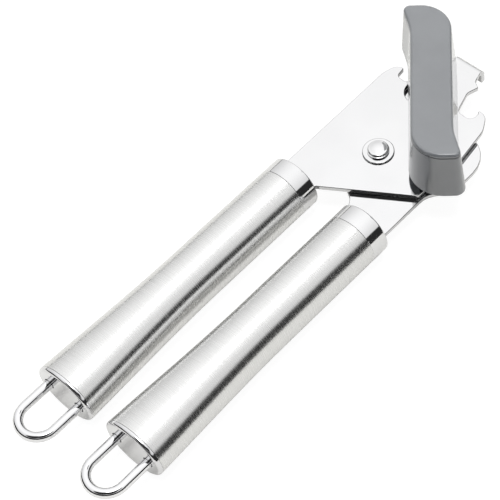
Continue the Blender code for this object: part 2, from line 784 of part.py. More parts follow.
def add_feed_wheel(parent):
    """A hardened wheel with pointed teeth, held on the axle's foot by a washer that the end is peened over."""
    count = FEED_TEETH * 4
    points = []
    for k in range(count):
        depth = (0.0, 0.25, 1.0, 0.25)[k % 4] * TOOTH_DEPTH
        angle = 2 * pi * k / count
        points.append(Vector((cos(angle), sin(angle))) * (FEED_WHEEL_RADIUS - depth))
    material = hardened_steel("feed wheel steel")
    wheel = add_prism("feed_wheel", points, FEED_BOTTOM, FEED_TOP, material, parent)
    bore = add_prism(
        "feed_bore_cutter",
        square(AXLE_FOOT_SQUARE + 2 * PRESS_GAP),
        FEED_BOTTOM - MM,
        FEED_TOP + MM,
        None,
        parent,
    )
    combine(wheel, "DIFFERENCE", bore)
    top = FEED_BOTTOM - SEAT_GAP
    add_ring(
        "feed_wheel_washer",
        AXLE_FOOT_SQUARE / 2 + PRESS_GAP,
        FEED_WASHER_RADIUS,
        top - 1.1 * MM,
        top,
        hardened_steel("feed washer steel"),
        parent,
        edge=0.2 * MM,
    )


def add_axle_bush(parent):
    """A flanged bush pressed into the drive lever; the axle turns in it."""
    inner = AXLE_RADIUS + SLIDE_GAP
    outer = inner + BUSH_WALL
    flange_bottom = DRIVE_TOP + SEAT_GAP
    flange_top = flange_bottom + BUSH_FLANGE_THICKNESS
    add_turned(
        "axle_bush",
        [
            (inner, flange_top),
            (BUSH_FLANGE_RADIUS, flange_top),
            (BUSH_FLANGE_RADIUS, flange_bottom),
            (outer, flange_bottom),
            (outer, DRIVE_BOTTOM),
            (inner, DRIVE_BOTTOM),
        ],
        make_material("bush bronze", (0.62, 0.45, 0.22), 0.35, 1.0),
        parent,
    )


def add_wave_washer(parent):
    """A thin spring washer with three waves, which takes up the play under the key."""
    flange_top = DRIVE_TOP + SEAT_GAP + BUSH_FLANGE_THICKNESS
    middle = (flange_top + KEY_BOTTOM) / 2
    half = WAVE_WASHER_THICKNESS / 2
    wave_height = (KEY_BOTTOM - flange_top) / 2 - half - SEAT_GAP
    inner = AXLE_SQUARE / 2 ** 0.5 + SLIDE_GAP
    material = hardened_steel("spring steel")
    washer = add_ring(
        "wave_washer", inner, BUSH_FLANGE_RADIUS - 0.4 * MM, middle - half, middle + half, material, parent
    )
    for vert in washer.data.vertices:
        vert.co.z += wave_height * sin(3 * atan2(vert.co.y, vert.co.x))


# ---------------------------------------------------------------- cutter


def add_cutter(parent):
    """The cutting wheel turns on a stud that is riveted flush into the cutter lever."""
    cone = STUD_HEAD_RADIUS - STUD_RADIUS
    foot_top = BLADE_BOTTOM - SEAT_GAP
    foot_bottom = foot_top - STUD_FOOT_HEIGHT
    add_turned(
        "cutter_stud",
        [
            (0.0, STUD_TOP),
            (STUD_HEAD_RADIUS, STUD_TOP),
            (STUD_RADIUS, STUD_TOP - cone),
            (STUD_RADIUS, foot_top),
            (STUD_FOOT_RADIUS, foot_top),
            (STUD_FOOT_RADIUS, foot_bottom + 0.6 * MM),
            (STUD_FOOT_RADIUS * 0.7, foot_bottom),
            (0.0, foot_bottom),
        ],
        hardened_steel("stud steel"),
        parent,
    )
    bore = STUD_RADIUS + SLIDE_GAP
    add_ring(
        "cutter_spacer",
        bore,
        SPACER_RADIUS,
        BLADE_TOP + SEAT_GAP,
        CUTTER_BOTTOM - SEAT_GAP,
        hardened_steel("spacer steel"),
        parent,
        edge=0.2 * MM,
    )
    add_turned(
        "cutter_wheel",
        [
            (bore, BLADE_TOP),
            (CUTTER_RADIUS - 0.05 * MM, BLADE_TOP),
            (CUTTER_RADIUS, BLADE_TOP - 0.1 * MM),
            (CUTTER_RADIUS - CUTTER_BEVEL, BLADE_BOTTOM),
            (bore, BLADE_BOTTOM),
        ],
        hardened_steel("cutter steel"),
        parent,
        count=48,
    )


# ---------------------------------------------------------------- assembly


def ground_under_middle(tool):
    """Moves the tool so that the origin lies under the middle of its bounding box."""
    bpy.context.view_layer.update()
    graph = bpy.context.evaluated_depsgraph_get()
    places = []
    for obj in bpy.data.objects:
        if obj.type == "EMPTY" or obj.hide_render:
            continue
        evaluated = obj.evaluated_get(graph)
        mesh = evaluated.to_mesh()
        places += [evaluated.matrix_world @ vert.co for vert in mesh.vertices]
        evaluated.to_mesh_clear()
    low = Vector([min(place[axis] for place in places) for axis in range(3)])
    high = Vector([max(place[axis] for place in places) for axis in range(3)])
    tool.location = -Vector(((low.x + high.x) / 2, (low.y + high.y) / 2, low.z))
    bpy.context.view_layer.update()


def main():
    for obj in list(bpy.data.objects):
        bpy.data.objects.remove(obj)
    tool = add_empty("can_opener", Vector(), None)
    pivot = add_empty("lever_pivot_axis", Vector(), tool)
    key_axis = add_empty("key_axis", AXLE_PLACE, tool)
    key_axis.rotation_euler = (0, 0, KEY_ANGLE)
    cutter_axis = add_empty("cutter_axis", CUTTER_PLACE, pivot)
    bush_axis = add_empty("bush_axis", AXLE_PLACE, tool)

    add_drive_lever(tool)
    drive_tang = DRIVE_BOTTOM + LEVER_THICKNESS / 2
    add_handle("drive", DRIVE_HANDLE_Y, drive_tang, ROOT_HALF_WIDTH, tool)
    add_pivot(tool)
    add_axle_bush(bush_axis)
    add_wave_washer(bush_axis)

    add_cutter_lever(pivot)
    cutter_tang = CUTTER_TOP - LEVER_THICKNESS / 2
    add_handle("cutter", CUTTER_HANDLE_Y, cutter_tang, WIDE_ROOT_REACH, pivot)
    add_cutter(cutter_axis)

    add_key(key_axis)
    add_axle(key_axis)
    add_feed_wheel(key_axis)
    ground_under_middle(tool)


main()
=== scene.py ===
from math import ceil, cos, pi, radians, sin, tan

import bmesh
import bpy
from mathutils import Matrix, Vector
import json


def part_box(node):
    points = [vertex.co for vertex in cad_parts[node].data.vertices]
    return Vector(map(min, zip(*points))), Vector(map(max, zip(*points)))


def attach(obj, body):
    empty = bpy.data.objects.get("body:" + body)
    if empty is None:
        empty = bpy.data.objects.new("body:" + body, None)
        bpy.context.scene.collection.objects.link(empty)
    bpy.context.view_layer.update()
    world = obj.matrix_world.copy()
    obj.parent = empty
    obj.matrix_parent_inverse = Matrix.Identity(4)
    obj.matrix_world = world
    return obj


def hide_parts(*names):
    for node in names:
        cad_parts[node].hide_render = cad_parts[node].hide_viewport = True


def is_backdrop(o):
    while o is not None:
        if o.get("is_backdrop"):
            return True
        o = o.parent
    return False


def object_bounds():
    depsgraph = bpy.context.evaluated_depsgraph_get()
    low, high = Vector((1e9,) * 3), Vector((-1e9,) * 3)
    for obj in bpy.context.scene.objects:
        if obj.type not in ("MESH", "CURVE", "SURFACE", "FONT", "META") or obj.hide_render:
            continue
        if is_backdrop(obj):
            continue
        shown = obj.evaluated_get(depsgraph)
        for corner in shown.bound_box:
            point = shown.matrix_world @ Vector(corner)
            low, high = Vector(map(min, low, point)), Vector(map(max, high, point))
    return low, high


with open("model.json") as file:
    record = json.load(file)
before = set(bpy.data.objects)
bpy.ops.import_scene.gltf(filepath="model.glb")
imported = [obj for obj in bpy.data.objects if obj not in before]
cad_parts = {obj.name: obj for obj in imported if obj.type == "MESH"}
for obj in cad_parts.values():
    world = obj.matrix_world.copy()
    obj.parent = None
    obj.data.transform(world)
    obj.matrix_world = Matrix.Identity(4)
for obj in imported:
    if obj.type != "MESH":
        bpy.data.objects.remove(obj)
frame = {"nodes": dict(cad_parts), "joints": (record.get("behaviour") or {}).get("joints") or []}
cad_low, cad_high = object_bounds()


# ------------------------------------------------------------------ studio
# A white sweep under a soft white dome with a softbox overhead, as for a catalogue picture. A dark
# band above the ground and a few dark cards give polished steel its black lines. None of this
# belongs to the tool.

MM = 0.001
MARK_DEPTH = 0.02 * MM
CAMERA_PLACE = Vector((-248.8, -293.0, 547.1)) * MM
CAMERA_HEADING = radians(38.746)
CAMERA_ELEVATION = radians(54.0)
CAMERA_ROLL = radians(10.0)

level_right = Vector((cos(CAMERA_HEADING), -sin(CAMERA_HEADING), 0.0))
level_ahead = Vector((sin(CAMERA_HEADING), cos(CAMERA_HEADING), 0.0))
forward = level_ahead * cos(CAMERA_ELEVATION) - Vector((0, 0, sin(CAMERA_ELEVATION)))
upright = level_ahead * sin(CAMERA_ELEVATION) + Vector((0, 0, cos(CAMERA_ELEVATION)))
right = level_right * cos(CAMERA_ROLL) - upright * sin(CAMERA_ROLL)
up = level_right * sin(CAMERA_ROLL) + upright * cos(CAMERA_ROLL)

camera_data = bpy.data.cameras.new("studio_camera")
camera_data.sensor_width = 36.0
camera_data.lens = 144.0
camera_data.clip_start = 0.01
camera_data.clip_end = 50.0
camera = bpy.data.objects.new("studio_camera", camera_data)
bpy.context.scene.collection.objects.link(camera)
turn = Matrix((right, up, -forward)).transposed().to_4x4()
camera.matrix_world = Matrix.Translation(CAMERA_PLACE) @ turn
bpy.context.scene.camera = camera
bpy.context.scene.view_settings.view_transform = "Standard"


class Signal:
    """A shader socket in a node tree; arithmetic on it adds Math nodes."""

    def __init__(self, tree, socket=None):
        self.tree = tree
        self.socket = socket

    def node(self, kind, settings=None, inputs=None, out=0):
        """The signal from one output of a new node, with its settings and inputs by name."""
        made = self.tree.nodes.new(kind)
        for name, value in (settings or {}).items():
            setattr(made, name, value)
        for name, value in (inputs or {}).items():
            if isinstance(value, Signal):
                self.tree.links.new(value.socket, made.inputs[name])
            else:
                made.inputs[name].default_value = value
        return Signal(self.tree, made.outputs[out])

    def math(self, operation, *values):
        return self.node("ShaderNodeMath", {"operation": operation}, dict(enumerate(values)))

    def vector(self, operation, *values, out=0):
        settings = {"operation": operation}
        return self.node("ShaderNodeVectorMath", settings, dict(enumerate(values)), out)

    def mix(self, first, second):
        """A colour between first and second, by this signal."""
        colours = {"Factor": self, 6: first, 7: second}
        return self.node("ShaderNodeMix", {"data_type": "RGBA"}, colours, 2)

    def noise(self, scale, detail):
        """Noise over this vector, with scale cycles for each unit of it."""
        inputs = {"Vector": self, "Scale": scale, "Detail": detail}
        return self.node("ShaderNodeTexNoise", None, inputs)

    def bump(self, height, strength):
        """A normal roughened by a height signal, as deep as fine polishing marks."""
        inputs = {"Strength": strength, "Distance": MARK_DEPTH, "Height": height}
        return self.node("ShaderNodeBump", None, inputs)

    def between(self, low, high):
        """0 below low, 1 above high, and smooth between them."""
        return self.node(
            "ShaderNodeMapRange",
            {"interpolation_type": "SMOOTHSTEP"},
            {"Value": self, "From Min": low, "From Max": high},
        )

    def __add__(self, other):
        return self.math("ADD", self, other)

    def __radd__(self, other):
        return self.math("ADD", other, self)

    def __sub__(self, other):
        return self.math("SUBTRACT", self, other)

    def __rsub__(self, other):
        return self.math("SUBTRACT", other, self)

    def __mul__(self, other):
        return self.math("MULTIPLY", self, other)

    def __rmul__(self, other):
        return self.math("MULTIPLY", other, self)

    def __truediv__(self, other):
        return self.math("DIVIDE", self, other)

    def __pow__(self, other):
        return self.math("POWER", self, other)


DOME_MIDDLE = Vector((0.30, 0.10, 0.95)).normalized()
DOME_BASE = 0.80
DOME_GAIN = 0.57
# The softbox is brighter where it lights matt surfaces than where glossy ones mirror it.
SOFTBOX_LEVEL = 13.0
SOFTBOX_GLARE = 2.5
BACKDROP_LEVEL = 1.1
DARK_LEVEL = 0.03
# A round patch of the sky is a direction and the degrees from it where its soft edge starts and
# ends.
SOFTBOX_PATCH = ((0.0, -0.06, 1.0), 9, 14)
DARK_CARDS = (
    ((-0.577, -0.13, 0.809), 18, 26),
    ((-0.368, -0.459, 0.809), 17, 24),
    ((0.0, -0.588, 0.809), 6, 10),
    ((0.58, -0.20, 0.79), 5, 8),
)

world = bpy.data.worlds.new("studio_dome")
bpy.context.scene.world = world
world.use_nodes = True
world.node_tree.nodes.clear()
sky = Signal(world.node_tree)
direction = sky.node("ShaderNodeTexCoord", out="Generated")
across, away, height = (
    sky.node("ShaderNodeSeparateXYZ", None, {0: direction}, k) for k in range(3)
)


def patch(middle, inner, outer):
    """1 within inner degrees of a direction in the sky, and 0 beyond outer degrees."""
    toward = tuple(Vector(middle).normalized())
    facing = direction.vector("DOT_PRODUCT", direction, toward, out="Value")
    return facing.between(cos(radians(outer)), cos(radians(inner)))


facing = direction.vector("DOT_PRODUCT", direction, tuple(DOME_MIDDLE), out="Value")
dome = DOME_BASE + DOME_GAIN * facing.math("MAXIMUM", facing, 0.0) ** 2.0
mirrored = sky.node("ShaderNodeLightPath", out="Is Glossy Ray")
softbox = SOFTBOX_LEVEL - (SOFTBOX_LEVEL - SOFTBOX_GLARE) * mirrored
dome = dome + softbox * patch(*SOFTBOX_PATCH)

# The dark band is highest on the near and left sides and low everywhere else. The small number
# keeps the zenith from dividing by nothing.
flat = (across**2.0 + away**2.0 + 1e-6) ** 0.5
near_side = (0.0 - away / flat).between(-0.5, 0.9)
left_side = (0.0 - across / flat).between(0.0, 0.6)
right_side = (across / flat).between(0.70, 0.95)
band_top = 0.04 + 0.46 * near_side.math("MAXIMUM", near_side, left_side) + 0.05 * right_side
dark = (1.0 - (height - band_top).between(-0.03, 0.03)) * height.between(-0.02, 0.0)
for middle, inner, outer in DARK_CARDS:
    dark = dark.math("MAXIMUM", dark, patch(middle, inner, outer))
seen = dome * (1.0 - dark) + DARK_LEVEL * dark
direct = sky.node("ShaderNodeLightPath", out="Is Camera Ray")
strength = seen * (1.0 - direct) + BACKDROP_LEVEL * direct
white = (1.0, 1.0, 1.0, 1.0)
shine = sky.node("ShaderNodeBackground", None, {"Color": white, "Strength": strength})
output = world.node_tree.nodes.new("ShaderNodeOutputWorld")
world.node_tree.links.new(shine.socket, output.inputs["Surface"])


def surface(name, colour, roughness, metallic):
    """A new material, its shader, and the signal that its nodes start from.

    The plain colour and roughness are stand-ins wherever nodes are linked over them.
    """
    material = bpy.data.materials.new(name)
    material.use_nodes = True
    shader = material.node_tree.nodes["Principled BSDF"]
    shader.inputs["Base Color"].default_value = (*colour, 1.0)
    shader.inputs["Roughness"].default_value = roughness
    shader.inputs["Metallic"].default_value = metallic
    return material, shader, Signal(material.node_tree)


def feed(shader, **signals):
    """Links signals to the shader's inputs, by their names with _ for a space."""
    for name, signal in signals.items():
        signal.tree.links.new(signal.socket, shader.inputs[name.replace("_", " ")])


SWEEP = 3.0
FLOOR_GAP = 0.1 * MM

floor_corners = [(-SWEEP, -SWEEP, 0), (SWEEP, -SWEEP, 0), (SWEEP, SWEEP, 0), (-SWEEP, SWEEP, 0)]
floor_mesh = bpy.data.meshes.new("studio_floor")
floor_mesh.from_pydata(floor_corners, [], [(0, 1, 2, 3)])
floor = bpy.data.objects.new("studio_floor", floor_mesh)
floor.location.z = cad_low.z - FLOOR_GAP
bpy.context.scene.collection.objects.link(floor)
paper, shader, start = surface("white paper sweep", (0.16, 0.16, 0.16), 0.9, 0.0)
shader.inputs["Specular IOR Level"].default_value = 0.0
shader.inputs["Emission Strength"].default_value = 1.0
# The sweep looks white, but throws back less light, so that the tool's undersides stay shaded.
direct = start.node("ShaderNodeLightPath", out="Is Camera Ray")
scattered = start.node("ShaderNodeLightPath", out="Is Diffuse Ray")
glow = scattered.mix((0.26, 0.258, 0.252, 1), (0.04, 0.04, 0.04, 1))
paper_white = scattered.mix((0.60, 0.597, 0.58, 1), (0.45, 0.45, 0.45, 1))
feed(
    shader,
    Base_Color=direct.mix(paper_white, (0.13, 0.13, 0.13, 1)),
    Emission_Color=direct.mix(glow, (0.93, 0.93, 0.93, 1)),
)
floor_mesh.materials.append(paper)
floor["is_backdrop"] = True


# ------------------------------------------------------------------ handle tubes
# Each handle is an oval stainless tube with a 1 mm wall that flares towards its tail. It is
# drawn, cut and brushed round its girth, which leaves fine lines across its length.

HEAD_HALF_WIDTH = 9.9 * MM
TAIL_HALF_WIDTH = 12.2 * MM
HANDLE_HALF_HEIGHT = 9.5 * MM
HANDLE_LENGTH = 110.5 * MM
FLARE_START = 50.0 * MM
TUBE_WALL = 1.0 * MM
CUT_EDGE = 0.07 * MM
GIRTH_POINTS = 112
FLARE_RINGS = 26
SHARP_ANGLE = radians(40)
# Noise cycles per metre across the handle and along it, so that lines run round the girth.
BRUSH_LINES = (90.0, 90.0, 3500.0)


def half_width(along):
    """The handle's half width at a distance from its front."""
    t = max(0.0, (along - FLARE_START) / (HANDLE_LENGTH - FLARE_START))
    return HEAD_HALF_WIDTH + (TAIL_HALF_WIDTH - HEAD_HALF_WIDTH) * t * t * (2 - t)


def handle_axis(side):
    """The front end of a handle's axis, from its ferrule."""
    low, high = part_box(f"{side}_handle_ferrule")
    return Vector((high.x, (low.y + high.y) / 2, (low.z + high.z) / 2))


def piece(name, builder, material, body, slot, *nodes, place=None):
    """Finishes a bmesh as a smooth piece that rides on a body and stands for CAD nodes.

    With a place, the piece gets its own axes there, and the bmesh stays where it is.
    """
    place = place or Matrix.Identity(4)
    bmesh.ops.recalc_face_normals(builder, faces=builder.faces[:])
    bmesh.ops.transform(builder, matrix=place.inverted(), verts=builder.verts[:])
    mesh = bpy.data.meshes.new(name)
    builder.to_mesh(mesh)
    builder.free()
    mesh.materials.append(material)
    mesh.shade_smooth()
    mesh.set_sharp_from_angle(angle=SHARP_ANGLE)
    made = bpy.data.objects.new(name, mesh)
    made.matrix_world = place
    bpy.context.scene.collection.objects.link(made)
    even = made.modifiers.new("even_faces", "WEIGHTED_NORMAL")
    even.keep_sharp = True
    even.weight = 100
    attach(made, body)
    if nodes:
        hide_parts(*nodes)
    return made


def skin(builder, rings, closed):
    """Faces between rings of points.

    A closed run joins its last ring to its first; an open one is capped at both ends.
    """
    made = [[builder.verts.new(point) for point in ring] for ring in rings]
    pairs = list(zip(made, made[1:]))
    if closed:
        pairs.append((made[-1], made[0]))
    else:
        builder.faces.new(made[0])
        builder.faces.new(made[-1])
    for first, second in pairs:
        for k in range(len(first)):
            following = (k + 1) % len(first)
            builder.faces.new((first[k], first[following], second[following], second[k]))


def oval_rings(axis, stations):
    """Oval rings round a handle's axis, at stations.

    A station is a distance from the handle's front and a depth under its skin.
    """
    rings = []
    for along, depth in stations:
        width = half_width(along) - depth
        height = HANDLE_HALF_HEIGHT - depth
        angles = [2 * pi * k / GIRTH_POINTS for k in range(GIRTH_POINTS)]
        rings.append([axis + Vector((-along, width * cos(a), height * sin(a))) for a in angles])
    return rings


def rounded_end(along, facing, radius):
    """Stations round a quarter circle from the flat end at along to the skin.

    The end faces the tail (facing is 1) or the front (facing is -1).
    """
    quarter = [k * pi / 8 for k in range(5)]
    return [
        (along - facing * radius * (1 - sin(a)), radius * (1 - sin(pi / 2 - a)))
        for a in reversed(quarter)
    ]


brushed, shader, brush = surface("girth-brushed stainless", (0.70, 0.70, 0.695), 0.3, 1.0)
shader.inputs["Anisotropic"].default_value = 0.6
shader.inputs["Anisotropic Rotation"].default_value = 0.25
where = brush.node("ShaderNodeTexCoord", out="Object")
lines = where.vector("MULTIPLY", where, BRUSH_LINES).noise(1.0, 2.0)
streak = lines.between(0.25, 0.75)
feed(
    shader,
    Base_Color=streak.mix((0.66, 0.66, 0.655, 1), (0.72, 0.72, 0.715, 1)),
    Roughness=0.235 + 0.05 * streak,
    Normal=brush.bump(lines, 0.015),
)

FERRULE_LENGTH = 7.0 * MM
SEAT_GAP = 0.04 * MM
CAP_LIP = 1.6 * MM
BODY_OF = {"drive": "drive_half", "cutter": "cutter_half"}

for side, body in BODY_OF.items():
    axis = handle_axis(side)
    front = FERRULE_LENGTH + SEAT_GAP
    tail = HANDLE_LENGTH - CAP_LIP - SEAT_GAP
    flare = tail - FLARE_START - CUT_EDGE
    stations = [(front, CUT_EDGE), (front + CUT_EDGE, 0.0)]
    stations += [(FLARE_START + flare * k / FLARE_RINGS, 0.0) for k in range(FLARE_RINGS + 1)]
    stations += [(tail, CUT_EDGE), (tail, TUBE_WALL), (front, TUBE_WALL)]
    builder = bmesh.new()
    skin(builder, oval_rings(axis, stations), True)
    lying = Matrix.Translation(axis) @ Matrix.Rotation(radians(-90), 4, "Y")
    piece(f"{side}_tube", builder, brushed, body, "tube_steel", f"{side}_handle_tube", place=lying)


# ------------------------------------------------------------------ ferrules
# A ferrule is a turned and polished stainless socket plugged into the front of each tube. The
# lever's root passes through its closed front.

FERRULE_WALL = 1.2 * MM
SPIGOT_LENGTH = 8.0 * MM
UNDER_TUBE = 1.3 * MM
RIM_RADIUS = 0.5 * MM
RIM_BAND = 0.1 * MM


def polished(name, colour, roughness, scuffs):
    """Polished steel with faint cloudy wear, and hairline scuffs that only its gloss shows."""
    material, shader, start = surface(name, colour, roughness, 1.0)
    where = start.node("ShaderNodeTexCoord", out="Object")
    cloud = where.noise(90.0, 4.0)
    hair = where.vector("MULTIPLY", where, (180.0, 2600.0, 700.0)).noise(1.0, 3.0)
    dull = hair.between(0.58, 0.75) * scuffs
    shade = cloud.between(0.3, 0.7)
    feed(
        shader,
        Base_Color=shade.mix((*(0.975 * c for c in colour), 1), (*(1.02 * c for c in colour), 1)),
        Roughness=roughness + 0.03 * cloud + dull,
        Normal=start.bump(hair, 0.05),
    )
    return material


bright_steel = polished("polished stainless", (0.71, 0.71, 0.715), 0.05, 0.06)

for side, body in BODY_OF.items():
    axis = handle_axis(side)
    stations = rounded_end(0.0, -1.0, RIM_RADIUS)
    stations += [
        (RIM_RADIUS + RIM_BAND, 0.0),
        (FERRULE_LENGTH - CUT_EDGE, 0.0),
        (FERRULE_LENGTH, CUT_EDGE),
        (FERRULE_LENGTH, UNDER_TUBE),
        (FERRULE_LENGTH + SPIGOT_LENGTH, UNDER_TUBE),
        (FERRULE_LENGTH + SPIGOT_LENGTH, UNDER_TUBE + FERRULE_WALL),
        (FERRULE_WALL, UNDER_TUBE + FERRULE_WALL),
    ]
    builder = bmesh.new()
    skin(builder, oval_rings(axis, stations), False)
    node = f"{side}_handle_ferrule"
    piece(f"{side}_ferrule", builder, bright_steel, body, "ferrule_steel", node)


# ------------------------------------------------------------------ end caps and loops
# A polished plug closes each tail. A loop of bright wire for hanging the tool has its two legs
# pressed into sockets in the plug.

WIRE_RADIUS = 1.7 * MM
LOOP_HALF_WIDTH = 6.9 * MM
LOOP_REACH = 11.0 * MM
LOOP_INSERTION = 6.8 * MM
SOCKET_RADIUS = 2.0 * MM
SOCKET_DEPTH = 7.4 * MM
CAP_EDGE = 1.1 * MM
LOOP_STEPS = 40
WIRE_POINTS = 32

cap_steel = polished("polished cap steel", (0.70, 0.70, 0.71), 0.07, 0.05)
wire_chrome = polished("bright wire", (0.78, 0.78, 0.79), 0.03, 0.03)


def hidden(name, builder):
    """An object that only a Boolean sees."""
    bmesh.ops.recalc_face_normals(builder, faces=builder.faces[:])
    mesh = bpy.data.meshes.new(name)
    builder.to_mesh(mesh)
    builder.free()
    made = bpy.data.objects.new(name, mesh)
    made.hide_render = True
    made.hide_viewport = True
    bpy.context.scene.collection.objects.link(made)
    return made


def cutter_rod(name, start, end, radius, count=40):
    """A hidden round rod that a Boolean uses to drill a hole."""
    builder = bmesh.new()
    along = (end - start).normalized()
    side = along.orthogonal().normalized()
    other = along.cross(side)
    angles = [2 * pi * k / count for k in range(count)]
    offsets = [(side * cos(a) + other * sin(a)) * radius for a in angles]
    skin(builder, [[start + o for o in offsets], [end + o for o in offsets]], False)
    return hidden(name, builder)


def drill(target, tool):
    """Cuts the tool's shape out of the target; the tool travels with its target."""
    tool.parent = target
    modifier = target.modifiers.new(tool.name, "BOOLEAN")
    modifier.operation = "DIFFERENCE"
    modifier.solver = "EXACT"
    modifier.object = tool
    target.modifiers.move(len(target.modifiers) - 1, 0)


for side, body in BODY_OF.items():
    axis = handle_axis(side)
    lip = HANDLE_LENGTH - CAP_LIP
    stations = rounded_end(HANDLE_LENGTH, 1.0, CAP_EDGE)
    stations += [
        (lip + CUT_EDGE, 0.0),
        (lip, CUT_EDGE),
        (lip, UNDER_TUBE),
        (lip - SPIGOT_LENGTH, UNDER_TUBE),
    ]
    builder = bmesh.new()
    skin(builder, oval_rings(axis, stations), False)
    cap = piece(f"{side}_cap", builder, cap_steel, body, "cap_steel", f"{side}_end_cap")
    for number, across in enumerate((-LOOP_HALF_WIDTH, LOOP_HALF_WIDTH)):
        mouth = axis + Vector((-HANDLE_LENGTH - MM, across, 0.0))
        bottom = axis + Vector((-HANDLE_LENGTH + SOCKET_DEPTH, across, 0.0))
        drill(cap, cutter_rod(f"{side}_socket_drill_{number}", mouth, bottom, SOCKET_RADIUS))

    inner_end = HANDLE_LENGTH - LOOP_INSERTION
    bend = HANDLE_LENGTH + LOOP_REACH
    path = [(-inner_end, LOOP_HALF_WIDTH, 0.0), (-HANDLE_LENGTH, LOOP_HALF_WIDTH, 0.0)]
    for k in range(LOOP_STEPS + 1):
        heading = pi * k / LOOP_STEPS
        x = -bend - LOOP_HALF_WIDTH * sin(heading)
        path.append((x, LOOP_HALF_WIDTH * cos(heading), heading))
    path += [(-HANDLE_LENGTH, -LOOP_HALF_WIDTH, pi), (-inner_end, -LOOP_HALF_WIDTH, pi)]
    rings = []
    for x, y, heading in path:
        outward = Vector((-sin(heading), cos(heading), 0.0))
        ring = []
        for k in range(WIRE_POINTS):
            a = 2 * pi * k / WIRE_POINTS
            offset = outward * cos(a) * WIRE_RADIUS + Vector((0, 0, sin(a) * WIRE_RADIUS))
            ring.append(axis + Vector((x, y, 0.0)) + offset)
        rings.append(ring)
    builder = bmesh.new()
    skin(builder, rings, False)
    piece(f"{side}_loop", builder, wire_chrome, body, "loop_chrome", f"{side}_hanging_loop")


# ------------------------------------------------------------------ levers
# The two levers are blanked from stainless plate and mirror-polished on their faces. Their cut
# edges have a fine chamfer and stay a little duller than the faces. The chamfer itself carries
# painted shade: a dark outline put into its colour.

LEVER_BREAK = 0.26 * MM
FLAT_ANGLE = radians(0.6)
CORNER_ANGLE = radians(32)
LUG_BEND = (45.8 * MM, 46.6 * MM)

pivot = Vector(next(joint for joint in frame["joints"] if joint["name"] == "lever_pivot")["pos_m"])


def softened(name, node, width, material, body, slot):
    """A copy of a CAD node with its sharp edges chamfered, which stands for it."""
    builder = bmesh.new()
    builder.from_mesh(frame["nodes"][node].data)
    bmesh.ops.remove_doubles(builder, verts=builder.verts[:], dist=1e-6)
    edges = builder.edges[:]
    bmesh.ops.dissolve_limit(
        builder, angle_limit=FLAT_ANGLE, verts=builder.verts[:], edges=edges, delimit=set()
    )
    sharp = [
        edge
        for edge in builder.edges
        if len(edge.link_faces) == 2 and edge.calc_face_angle(0.0) > CORNER_ANGLE
    ]
    bmesh.ops.bevel(
        builder,
        geom=sharp,
        offset=width,
        offset_type="OFFSET",
        segments=2,
        profile=0.5,
        affect="EDGES",
        clamp_overlap=False,
    )
    return piece(name, builder, material, body, slot, node)


def plate_steel(name, cut_roughness, painted_chamfer_colour):
    """Polished plate: mirror faces with hairlines, duller cut edges, and chamfers darkened by
    painted shade.

    Beyond the guide lug's bend no painted shade goes on, because the bend slants the same way.
    """
    material, shader, start = surface(name, (0.72, 0.72, 0.725), 0.06, 1.0)
    where = start.node("ShaderNodeTexCoord", out="Object")
    normal = start.node("ShaderNodeTexCoord", out="Normal")
    upward = start.node("ShaderNodeSeparateXYZ", None, {0: normal}, 2)
    upward = upward.math("ABSOLUTE", upward)
    edge = 1.0 - upward.between(0.25, 0.8)
    # Painted shade: normals between facing up and facing sideways mark the chamfer, which gets a
    # dark colour.
    painted_chamfer_shade = upward.between(0.15, 0.35) * (1.0 - upward.between(0.85, 0.97))
    ahead = start.node("ShaderNodeSeparateXYZ", None, {0: where}, 0)
    painted_chamfer_shade = painted_chamfer_shade * (1.0 - ahead.between(*(pivot.x + distance for distance in LUG_BEND)))
    cloud = where.noise(60.0, 5.0)
    hair = where.vector("MULTIPLY", where, (160.0, 1900.0, 500.0)).noise(1.0, 4.0)
    face = cloud.between(0.25, 0.75).mix((0.705, 0.705, 0.71, 1), (0.735, 0.735, 0.74, 1))
    feed(
        shader,
        Base_Color=painted_chamfer_shade.mix(edge.mix(face, (0.62, 0.62, 0.63, 1)), (*(painted_chamfer_colour,) * 3, 1)),
        Roughness=0.05 + 0.04 * cloud + cut_roughness * edge,
        Normal=start.bump(hair, 0.06),
    )
    return material


# Painted shade: the levers' chamfers get a near-black colour.
plate = plate_steel("mirror plate", 0.05, 0.16)
softened("upper_lever", "drive_lever", LEVER_BREAK, plate, "drive_half", "lever_steel")
softened("lower_lever", "cutter_lever", LEVER_BREAK, plate, "cutter_half", "lever_steel")


# ------------------------------------------------------------------ pivot
# The levers turn on a solid rivet with a domed, polished head, and a thin bright washer lies on
# each side of them.


def turned(builder, centre, profile, count=64):
    """Rings round a vertical axis for a (radius, height) profile, capped at both ends."""
    angles = [2 * pi * k / count for k in range(count)]
    rings = []
    for radius, height in profile:
        foot = Vector((centre.x, centre.y, height))
        rings.append([foot + Vector((radius * cos(a), radius * sin(a), 0.0)) for a in angles])
    skin(builder, rings, False)


def node_centre(node):
    low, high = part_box(node)
    return (low + high) / 2


RIVET_HEAD_RADIUS = 3.6 * MM
RIVET_HEAD_HEIGHT = 2.0 * MM
RIVET_TOP_FLAT = 0.12 * MM
RIVET_CROWN = 0.62 * MM
RIVET_SHOULDER = 0.55 * MM
RIVET_FOOT_STEP = 0.22 * MM
RIVET_FOOT_HEIGHT = 0.46 * MM
RIVET_FOOT_SLOPE = 0.09 * MM
RIVET_SHANK_RADIUS = 2.8 * MM
RIVET_TAIL_RADIUS = 4.4 * MM
RIVET_TAIL_HEIGHT = 1.6 * MM
RIVET_TAIL_TAPER = 1.0 * MM
RIVET_TAIL_FACE = 0.3 * MM
RIVET_STEPS = 6
WASHER_BREAK = 0.18 * MM

